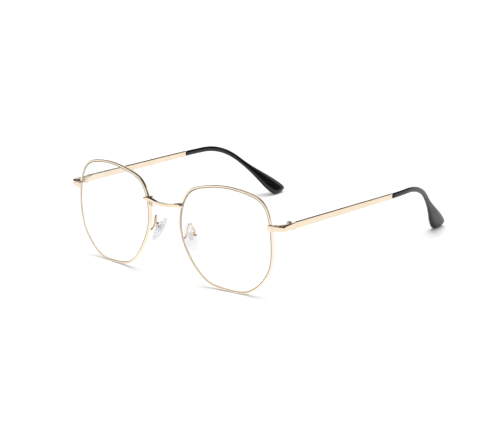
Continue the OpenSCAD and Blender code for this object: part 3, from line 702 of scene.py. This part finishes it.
def lens_rings(side, around=LENS_AROUND, steps=LENS_STEPS):
    edge_in = BEVEL_IN + LENS_THICKNESS / 2 * GROOVE_DEPTH / GROOVE_HALF

    def face_ring(scale, depth):
        ring = []
        for i in range(around):
            t = edge_t(i / around)
            way_out, way_back = lens_axes(t)[:2]
            e = groove(t) - way_out * edge_in + way_back * depth
            ring.append(on_table(in_face(on_ball(e.x * scale, e.z * scale, BASE_RADIUS - depth)), side))
        return ring

    front = [face_ring((k + 1) / steps, -LENS_THICKNESS / 2) for k in range(steps)]
    rear = [face_ring((k + 1) / steps, LENS_THICKNESS / 2) for k in range(steps)]
    middle = [[on_table(on_face(edge_t(i / around), -BEVEL_IN, 0), side) for i in range(around)]]
    return front + middle + rear[::-1]


for name, side in SIDES.items():
    mesh = loft("lens_" + name, lens_rings(side))
    mesh.materials.append(clear_lens)
    mesh.materials.append(ground_edge)
    for face in mesh.polygons[(LENS_STEPS - 1) * LENS_AROUND:(LENS_STEPS + 1) * LENS_AROUND]:
        face.material_index = 1
    lens = place_piece(mesh, "lens_" + name, sharp=25)
    lens.visible_shadow = False

# %% [markdown]
# ## Temples and tips
# A temple is a flat strip that tapers toward the ear. Its tip is a plastic sleeve that turns down
# behind the ear, curls in toward the head, twists a little and widens to a rounded paddle. Both
# could be boxes that a modifier bends, but their thickness would change with the bend. So they
# are lofted ring by ring, along one line that is measured from the hinge pivot.

# %% Sizes of the side, in millimetres
SLOPE, SPLAY, BEND_AT, BEND_RADIUS, DROP = math.radians(1.75), math.radians(0.9), 93.4, 38, math.radians(41)
CURL_AT, CURL_RADIUS, CURL_LENGTH, PADDLE_TURN, TURN_LENGTH = 77, 150, 40, math.radians(16), 12
SEAM, BUTT, TEMPLE_THICK, TEMPLE_FRONT, TEMPLE_REAR = 79, 2.2, 1.05, 3.6, 3.0
TIP_HIGH, TIP_THICK, PADDLE_WIDE, PADDLE_THICK = 2.7, 1.8, 9, 3.2
KNUCKLE = 2.6
BEND_LENGTH = BEND_RADIUS * (DROP - SLOPE)
joint_of = {row["name"]: row for row in record["behaviour"]["joints"]}
pivot = Vector(joint_of["temple_left_fold"]["pos_m"])
print("pivot", [round(v, 4) for v in pivot])


# %% The line of a temple, in millimetres from the pivot
def bend(s):
    return SLOPE + min(max(s - BEND_AT, 0), BEND_LENGTH) / BEND_RADIUS


def temple_line(s):
    curled = min(max(s - CURL_AT, 0), CURL_LENGTH)
    past = max(s - CURL_AT - CURL_LENGTH, 0)
    beyond = max(s - BEND_AT - BEND_LENGTH, 0)
    start = min(s, BEND_AT)
    middle = KNUCKLE / 2 + 0.1 + TEMPLE_THICK / 2 - SOLDER_GAP
    ahead = BEND_RADIUS * (math.sin(bend(s)) - math.sin(SLOPE))
    fall = BEND_RADIUS * (math.cos(bend(s)) - math.cos(SLOPE))
    return Vector((middle - (curled / 2 + past) * curled / CURL_RADIUS,
                   start * math.cos(SLOPE) + ahead + beyond * math.cos(DROP),
                   -start * math.sin(SLOPE) + fall - beyond * math.sin(DROP)))


def temple_axes(s):
    curled = min(max(s - CURL_AT, 0), CURL_LENGTH)
    ahead = Vector((-curled / CURL_RADIUS, math.cos(bend(s)), -math.sin(bend(s)))).normalized()
    upright = Vector((0, math.sin(bend(s)), math.cos(bend(s))))
    across = ahead.cross(upright)
    turn = PADDLE_TURN * min(max(s - BEND_AT, 0) / (BEND_LENGTH + TURN_LENGTH), 1)
    out = across * math.cos(turn) - upright * math.sin(turn)
    return out, upright * math.cos(turn) + across * math.sin(turn)


def temple_ring(s, section, slide=0.0):
    """A ring across the line. With slide 1 it leans until it is level with the table."""
    ring = []
    for x, y in section:
        t = s + slide * y / math.tan(DROP)
        out, up = temple_axes(t)
        ring.append(temple_line(t) + out * x + up * y)
    return ring


hinge_turn = Matrix.Rotation(-SPLAY, 3, "Z")


def from_hinge(ring, side):
    return [mirror(hinge_turn @ p * MM + pivot, side) for p in ring]


print("ear bend ends at", [round(v, 1) for v in temple_line(BEND_AT + BEND_LENGTH)], "mm from the pivot")


# %% Temples
def strip_high(s):
    return TEMPLE_FRONT + (TEMPLE_REAR - TEMPLE_FRONT) * s / SEAM


def temple_rings(edge=0.4, steps=30):
    first, last = BUTT + 0.08, SEAM
    rounding = rolled_end(edge, (0.2, 0.6, 1.0))
    rings = []
    for along, inset in rounding:
        section = soft_box(TEMPLE_THICK, strip_high(first), edge, edge, inset=inset)
        rings.append(temple_ring(first + along, section))
    for i in range(steps + 1):
        high = strip_high(first + (last - first) * i / steps)
        section = soft_box(TEMPLE_THICK, high, edge + 0.08, edge + 0.15)
        rings.append(temple_ring(first + edge + (last - first - 2 * edge) * i / steps, section))
    for along, inset in rounding[::-1]:
        section = soft_box(TEMPLE_THICK, TEMPLE_REAR, edge, edge, inset=inset)
        rings.append(temple_ring(last - along, section))
    return rings


def place_both(kind, rings, sharp=35):
    """Lofts rings that are given from the hinge, for the left side and the right."""
    for name, side in SIDES.items():
        node = kind + "_" + name
        place_piece(loft(node, [from_hinge(ring, side) for ring in rings]), node, sharp)


place_both("temple", temple_rings())

# %% [markdown]
# ## Temple tips
# The sleeve keeps its section through the ear bend and widens toward its end, where the last
# rings shrink to a blunt nose and lean toward the table. How long it is comes from trial: the
# length changes until the lowest point just meets the table, as on the real object.


# %% Tips
def ease(x):
    x = min(max(x, 0), 1)
    return x * x * (3 - 2 * x)


PADDLE_LENGTH, NOSE_LENGTH, NOSE_STEPS, FLANK_STEPS = 36, 4.5, 10, 30


def tip_end_ring(tail, left):
    """The ring that is 'left' millimetres before the end."""
    share = ease((PADDLE_LENGTH - left) / 32) ** 1.35
    nose = 1 - min(left / NOSE_LENGTH, 1)
    full = (1 - nose ** 3) ** (1 / 3)
    wide = (TIP_HIGH + (PADDLE_WIDE - TIP_HIGH) * share) * full
    thick = (TIP_THICK + (PADDLE_THICK - TIP_THICK) * share) * full
    section = soft_box(thick, wide, 0.45 * thick, 0.35 * wide, steps=8)
    return temple_ring(BEND_AT + BEND_LENGTH + tail - left, section, 0.6 * ease((26 - left) / 26))


END_STEPS = [PADDLE_LENGTH - (PADDLE_LENGTH - NOSE_LENGTH) * i / FLANK_STEPS for i in range(FLANK_STEPS)]
END_STEPS += [NOSE_LENGTH * (1 - math.sin(math.pi / 2 * i / NOSE_STEPS)) + 0.01
              for i in range(NOSE_STEPS + 1)]
table_under_pivot = -pivot.z / MM
tail = 34.9
for trial in range(4):
    lowest = min(p.z for left in END_STEPS[20:] for p in tip_end_ring(tail, left))
    tail += (lowest - table_under_pivot) / math.sin(DROP)
print("tail behind the ear bend", round(tail, 2), "mm")


def sleeve_section(inset=0.0):
    return soft_box(TIP_THICK, TIP_HIGH, 0.45 * TIP_THICK, 0.42 * TIP_HIGH, steps=8, inset=inset)


def tip_rings(edge=0.3):
    first = SEAM + SOLDER_GAP
    start = [temple_ring(first + along, sleeve_section(inset))
             for along, inset in rolled_end(edge, (0.2, 0.6, 1.0))]
    plain = sleeve_section()
    straight = [temple_ring(first + edge + (BEND_AT - first - edge) * i / 8, plain) for i in range(8)]
    knee_length = BEND_LENGTH + tail - PADDLE_LENGTH
    knee = [temple_ring(BEND_AT + knee_length * i / 16, plain) for i in range(16)]
    return start + straight + knee + [tip_end_ring(tail, left) for left in END_STEPS]


place_both("temple_tip", tip_rings(), sharp=60)

# %% [markdown]
# ## Bridge
# The bridge is a cast bar with a saddle. It swells to a boss beside each rim, where it is
# soldered, and runs out into a pointed tongue over the front of the rim. It could be sculpted,
# but both halves have to be alike. So it is lofted across the face from a short table of slices,
# with a smooth curve between them, and a small lug is lofted behind each rim.

# %% Slices of the bridge: share of the reach, front, back, height of the middle, slice height
BRIDGE_RISE, BRIDGE_BOW, BAR_HIGH, BAR_DEEP, BAR_AHEAD, REACH = 11.6, 1.2, 1.7, 1.9, 2.1, 12.6
solder_t = find(lambda t: on_face(t, 0, 0).z, BRIDGE_RISE + BRIDGE_BOW, 8.4, 5.6)
rim_front = on_face(solder_t, 0, -half_depth).y
front_y = rim_front - BAR_AHEAD
top = BRIDGE_RISE + BRIDGE_BOW
slices = [
    (0, front_y, front_y + BAR_DEEP, BRIDGE_RISE, BAR_HIGH),
    (0.24, front_y + 0.05, front_y + BAR_DEEP, BRIDGE_RISE + 0.08, BAR_HIGH),
    (0.48, front_y + 0.2, front_y + BAR_DEEP + 0.2, BRIDGE_RISE + BRIDGE_BOW * 0.4, BAR_HIGH),
    (0.63, front_y + 0.35, front_y + BAR_DEEP + 0.5, BRIDGE_RISE + BRIDGE_BOW * 0.75, BAR_HIGH + 0.2),
    (0.68, front_y + 0.4, rim_front + RIM_DEPTH + 0.3, top - 0.2, BAR_HIGH + 0.4),
    (0.78, front_y + 0.4, rim_front + RIM_DEPTH + 0.3, top - 0.1, BAR_HIGH + 0.4),
    (0.81, front_y + 0.4, rim_front - 0.05, top - 0.1, BAR_HIGH + 0.3),
    (0.9, front_y + 0.45, rim_front - 0.1, top - 0.3, BAR_HIGH + 0.1),
    (1, front_y + 0.75, rim_front - 0.8, top - 0.2, 0.9)]
print("bridge from", len(slices), "slices, soldered to the rim at", round(solder_t, 2))


# %% A smooth curve through the slices
def slope_between(a, b, column):
    return (b[column] - a[column]) / (b[0] - a[0])


def shared_slope(one, other):
    """A slope that suits both sides of a slice, and 0 where the curve turns round."""
    return 0 if one * other <= 0 else 2 * one * other / (one + other)


def between_slices(x):
    """Smooth values between the slices, never past a slice's own value."""
    k = max(i for i in range(len(slices) - 1) if slices[i][0] <= x)
    a, b = slices[k], slices[k + 1]
    f = (x - a[0]) / (b[0] - a[0])
    values = []
    wide = b[0] - a[0]
    for c in range(1, 5):
        rise = b[c] - a[c]
        before = slope_between(slices[k - 1], a, c) * wide if k else 0
        after = slope_between(b, slices[k + 2], c) * wide if k + 2 < len(slices) else rise
        start, end = shared_slope(before, rise), shared_slope(after, rise)
        curve = (3 * rise - 2 * start - end) * f * f + (start + end - 2 * rise) * f ** 3
        values.append(a[c] + start * f + curve)
    return values


def bridge_ring(x, side):
    front, rear, height, high = between_slices(abs(x))
    deep = rear - front
    boss = ease((abs(x) - 0.5) / 0.2)
    rounding = 0.14 + 0.2 * boss
    section = soft_box(deep, high, min(rounding * deep, 0.8), rounding * high, steps=6)
    return [on_table(Vector((side * abs(x) * REACH, (front + rear) / 2 - p, height + q))) for p, q in section]


print("saddle is", round(between_slices(0)[3], 2), "mm high in the middle")


# %% Bridge with its two solder lugs
def lug_rings(side, steps=8):
    foot = on_face(solder_t, 0, half_depth + SOLDER_GAP)
    along = face_turn @ lens_axes(solder_t)[2]
    start, end = Vector((-0.9, 0.45, 0.6)), along * 5.2 + Vector((0, 0.45, 0))
    rings = []
    for i in range(steps + 1):
        f = i / steps
        middle = foot + start * (1 - f) + end * f
        round_end = math.sqrt(max(1 - (2 * f - 1) ** 8, 0.02))
        section = soft_box((1.7 - 0.9 * f) * round_end, 0.9, 0.3, 0.3, steps=4)
        rings.append([on_table(middle + Vector((x, y, 0)), side) for x, y in section])
    return rings


def bridge_mesh(steps=90, reach=0.999):
    rings = [bridge_ring(reach - reach * i / steps, -1) for i in range(steps)]
    rings += [bridge_ring(reach * i / steps, 1) for i in range(steps + 1)]
    whole = bmesh.new()
    whole.from_mesh(loft("bridge", rings))
    for side in SIDES.values():
        whole.from_mesh(loft("lug", lug_rings(side)))
    return mesh_of(whole, "bridge")


place_piece(bridge_mesh(), "bridge", sharp=50)

# %% [markdown]
# ## Nose pads
# A nose pad is a soft clear oval, a little egg-shaped, domed toward the nose, with a small plate
# moulded inside. It hangs in a small box on a bent wire and can rock on its screw. A squashed
# ball would be too round at the rim, so it is a loft of ovals with a fuller edge.

# %% The pad frame
PAD_AT = Vector((10.1, 7, -4.1))
PAD_LONG, PAD_WIDE, PAD_THICK, PAD_DROP = 13.8, 7.5, 1.6, 0.8
BOX_BACK = 3.2
PAD_LEAN, PAD_SPLAY, PAD_TILT = -6, -6, -26
pad_turn = (Matrix.Rotation(math.radians(PAD_LEAN), 3, "X")
            @ Matrix.Rotation(math.radians(PAD_SPLAY), 3, "Z")
            @ Matrix.Rotation(math.radians(PAD_TILT), 3, "Y"))


def from_pad(p):
    return pad_turn @ Vector(p) + PAD_AT


def pad_rings(side, around=48, steps=18):
    rings = []
    for k in range(steps + 1):
        a = math.pi * (0.02 + 0.96 * k / steps)
        scale = math.sin(a) ** 0.5
        x = -math.cos(a) * PAD_THICK / 2
        ring = []
        for i in range(around):
            b = 2 * math.pi * i / around
            y = scale * PAD_WIDE / 2 * math.cos(b) * (1 - 0.08 * math.sin(b))
            ring.append(on_table(from_pad((x, y, scale * PAD_LONG / 2 * math.sin(b) - PAD_DROP)), side))
        rings.append(ring)
    return rings


for name, side in SIDES.items():
    pad = place_piece(loft("nose_pad_" + name, pad_rings(side)), "nose_pad_" + name, sharp=60)
    pad.visible_shadow = False

# %% [markdown]
# ## Pad arms
# Each arm is a round wire from the back of the rim, up, over and down to the pad box. Pliers
# bend it. As for the rim, a tree sweeps a section along a path, and the path is a smooth curve
# near a few given points.


# %% Tree of a round wire, and both arms
def round_wire_tree():
    tree, take, path = new_tree("round wire", {"Radius": 0.45 * MM})
    circle = add_node(tree, "GeometryNodeCurvePrimitiveCircle", {
        "Resolution": 16, "Radius": take["Radius"]})
    return finish_tree(tree, take, path, circle.outputs[0])


ARM_BACK, ARM_TOP = 2.6, 1.8
root_t = find(lambda t: on_face(t, 0, 0).z, PAD_AT.z, 9.6, 7.4)
root = on_face(root_t, 0.1, half_depth + SOLDER_GAP)
arm_end = from_pad((BOX_BACK + SOLDER_GAP, 0, 0))
over = arm_end.x - root.x
arm_points = [
    root, root, root, root + Vector((0, ARM_BACK * 0.6, 0.2)), root + Vector((-0.1, ARM_BACK, 1)),
    Vector((root.x - 0.2, root.y + ARM_BACK + 0.6, ARM_TOP - 2.2)),
    Vector((root.x - 0.1, root.y + ARM_BACK + 1.4, ARM_TOP + 0.4)),
    Vector((root.x + over * 0.3, arm_end.y - 0.9, ARM_TOP + 0.6)),
    Vector((arm_end.x - 1.2, arm_end.y - 0.4, ARM_TOP - 1.6)),
    from_pad((BOX_BACK + 0.9, 0, 0.4)), arm_end, arm_end, arm_end]
arm_tree = round_wire_tree()
for name, side in SIDES.items():
    line = [on_table(spline(arm_points, 1.02 + 9.96 * i / 60), side) for i in range(61)]
    place_piece(run_tree(arm_tree, line, {"Material": gold}), "pad_arm_" + name, sharp=60)

# %% [markdown]
# ## Endpieces
# An endpiece is a strap that is bent round the corner of the front. Seen from above its outer
# edge is rolled, and most of all at the corner, where the press has pulled it down. The strap is
# lofted along its plan line with a section whose four corners have radii of their own, and the
# inside of the corner is filled where closing block and hinge leaf are soldered on.

# %% Plan line of the endpiece, in millimetres in the face frame
STRAP_THICK, CORNER_INSIDE, HINGE_OUT, HINGE_BACK, OVERLAP, STRAP_HIGH = 1.05, 0.8, 4, 13.3, 1.4, 2.7
CORNER_SPREAD = 0.9
split_out, split_back = [face_turn @ way for way in lens_axes(split)[:2]]
strap_turn = math.atan2(split_out.y, split_out.x)
strap_way = Vector((math.cos(strap_turn), math.sin(strap_turn)))
strap_in = Vector((-strap_way.y, strap_way.x))
temple_way = Vector((math.sin(SPLAY), math.cos(SPLAY)))
temple_in = Vector((-temple_way.y, temple_way.x))
leaf_out = KNUCKLE / 2 + 0.1
seat_at = (on_face(split, 0, 0) - split_back * (half_depth + SOLDER_GAP)).xy
return_at = Vector((on_face(split, 0, 0).x + HINGE_OUT, HINGE_BACK)) - temple_in * leaf_out
gap = return_at + temple_in * CORNER_INSIDE - seat_at - strap_in * CORNER_INSIDE
corner_along = gap.cross(temple_way) / strap_way.cross(temple_way)
corner_at = seat_at + strap_in * CORNER_INSIDE + strap_way * corner_along
FRONT_LENGTH = corner_along + OVERLAP
BACK_LENGTH = (return_at - corner_at).dot(temple_way) + BUTT
TURN = math.pi / 2 - SPLAY - strap_turn
MID_RADIUS = CORNER_INSIDE + STRAP_THICK / 2
STRAP_LENGTH = FRONT_LENGTH + TURN * MID_RADIUS + BACK_LENGTH
print("endpiece", round(FRONT_LENGTH, 2), "mm front,", round(BACK_LENGTH, 2), "mm back")


def strap_line(s):
    """Middle of the strap in plan, and the way out of its outer face, at a distance along it."""
    a = strap_turn - math.pi / 2 + min(max(s - FRONT_LENGTH, 0) / MID_RADIUS, TURN)
    out = Vector((math.cos(a), math.sin(a)))
    place = corner_at + out * MID_RADIUS + strap_way * min(s - FRONT_LENGTH, 0)
    back = max(s - FRONT_LENGTH - TURN * MID_RADIUS, 0)
    spread = min(ease((s - 1.5) / (FRONT_LENGTH - 1.5)), 1 - back / BACK_LENGTH)
    return place + temple_way * back + strap_way * (CORNER_SPREAD * spread), out


def four_corner_box(low_x, high_x, low_y, high_y, radii, steps=5):
    """Section with its own radius at top outside, top inside, bottom inside, bottom outside."""
    points = []
    signs = ((1, 1, high_x, high_y), (-1, 1, low_x, high_y), (-1, -1, low_x, low_y), (1, -1, high_x, low_y))
    for k, ((sx, sy, x, y), r) in enumerate(zip(signs, radii)):
        for i in range(steps + 1):
            a = math.pi / 2 * (k + i / steps)
            points.append((x - sx * r + r * math.cos(a), y - sy * r + r * math.sin(a)))
    return points


print("strap is", round(STRAP_LENGTH, 2), "mm long")


# %% Rings of the endpiece
def hump(x, low, rise, fall, high):
    """0 outside low to high, 1 between rise and fall, eased."""
    return min(ease((x - low) / (rise - low)), ease((high - x) / (high - fall)))


def endpiece_ring(s, inset=0.0):
    place, out = strap_line(s)
    turn_from = FRONT_LENGTH
    turn_to = FRONT_LENGTH + TURN * MID_RADIUS
    back = ease((s - turn_to) / (STRAP_LENGTH - turn_to))
    corner = hump(s, turn_from - 2.2, turn_from + 0.3, turn_to + 2.2, STRAP_LENGTH - 0.3)
    plate = 1 - ease((s - OVERLAP) / 3)
    low = -STRAP_HIGH / 2 - 0.2 * plate + 0.35 * corner - 0.6 * back
    high = STRAP_HIGH / 2 + 0.15 * plate + 0.35 * corner + 0.1 * back
    nose = max(1 - s / 0.9, 0)
    low += 0.9 * (1 - math.sqrt(1 - nose * nose))
    high -= 0.35 * (1 - math.sqrt(1 - nose * nose))
    radii = [max(r - inset, LEAST_RADIUS) for r in (0.32 + 0.6 * corner, 0.3, 0.25, 0.3 + 0.15 * corner)]
    inside = inset - STRAP_THICK / 2 - 0.12 * corner
    box = four_corner_box(inside, STRAP_THICK / 2 - inset, low + inset, high - inset, radii)
    return [Vector((place.x + out.x * x, place.y + out.y * x, STRAP_RISE + y)) for x, y in box]


def endpiece_rings(edge=0.22, steps=70):
    rounding = rolled_end(edge, (0.1, 0.5, 0.9, 1.3))
    rings = [endpiece_ring(along, inset) for along, inset in rounding]
    rings += [endpiece_ring(edge + (STRAP_LENGTH - 2 * edge) * i / steps) for i in range(steps + 1)]
    return rings + [endpiece_ring(STRAP_LENGTH - along, inset) for along, inset in rounding[::-1]]


print("endpiece from", len(endpiece_rings()), "rings")


# %% Endpieces
def roll_edges(bm, edges, width):
    bmesh.ops.bevel(bm, geom=edges, offset=width, offset_type="OFFSET", segments=3, profile=0.5,
                    affect="EDGES", clamp_overlap=True, material=-1)


def corner_web():
    """The filled inside of the corner, from the closing block to the hinge leaf."""
    bm = bmesh.new()
    deep = STRAP_THICK / 2 - 0.15
    start, start_out = strap_line(FRONT_LENGTH - 1.6)
    turn, turn_out = strap_line(FRONT_LENGTH + TURN * MID_RADIUS / 2)
    end, end_out = strap_line(STRAP_LENGTH - BACK_LENGTH + 5.4)
    plan = [start - start_out * deep, turn - turn_out * deep * 0.6, end - end_out * deep,
            end - end_out * 1.2, start - start_out * 2.6]
    for z in (-STRAP_HIGH / 2 + 0.3, STRAP_HIGH / 2 + 0.3):
        for p in plan:
            bm.verts.new((p.x, p.y, STRAP_RISE + z))
    bm.verts.ensure_lookup_table()
    count = len(plan)
    bm.faces.new(bm.verts[:count])
    bm.faces.new(bm.verts[count:])
    for i in range(count):
        j = (i + 1) % count
        bm.faces.new((bm.verts[i], bm.verts[j], bm.verts[count + j], bm.verts[count + i]))
    roll_edges(bm, bm.edges[:], 0.15)
    return mesh_of(bm, "web")


for name, side in SIDES.items():
    whole = bmesh.new()
    whole.from_mesh(loft("endpiece", [[on_table(p, side) for p in ring] for ring in endpiece_rings()]))
    web = corner_web()
    for vertex in web.vertices:
        vertex.co = on_table(vertex.co.copy(), side)
    whole.from_mesh(web)
    place_piece(mesh_of(whole, "endpiece_" + name), "endpiece_" + name, sharp=50)

# %% [markdown]
# ## Small metal parts
# Hinges, blocks, boxes and screws already have the right shape in the CAD model, but their edges
# are knife sharp, and real edges are rolled by polishing and catch the light. So each is copied,
# its triangles are joined back into flat faces, and its edges get a small bevel. The hinge's
# stack is a little lower in the photograph than in the solids, so its heights are pressed.


# %% Rolled edges
HINGE_PRESS = 0.86


def rolled_copy(node, width, press=1.0, least_angle=30):
    bm = bmesh.new()
    bm.from_mesh(frame["nodes"][node].data)
    for vertex in bm.verts:
        vertex.co.z = pivot.z + (vertex.co.z - pivot.z) * press
    bmesh.ops.remove_doubles(bm, verts=bm.verts, dist=2e-6)
    bmesh.ops.dissolve_limit(bm, angle_limit=math.radians(1.5), verts=bm.verts, edges=bm.edges)
    sharp = [e for e in bm.edges if e.is_manifold and e.calc_face_angle(0) > math.radians(least_angle)]
    roll_edges(bm, sharp, width * MM)
    return mesh_of(bm, node)


EDGE_WIDTHS = {
    "closing_block_upper": 0.12, "closing_block_lower": 0.12, "rim_screw": 0.06, "hinge_front": 0.1,
    "hinge_rear": 0.1, "hinge_screw": 0.08, "pad_box": 0.1, "pad_insert": 0.06, "pad_screw": 0.05}
for part, width in EDGE_WIDTHS.items():
    press = HINGE_PRESS if part.startswith("hinge") else 1.0
    for name in SIDES:
        node = part + "_" + name
        place_piece(rolled_copy(node, width, press), node, sharp=38)
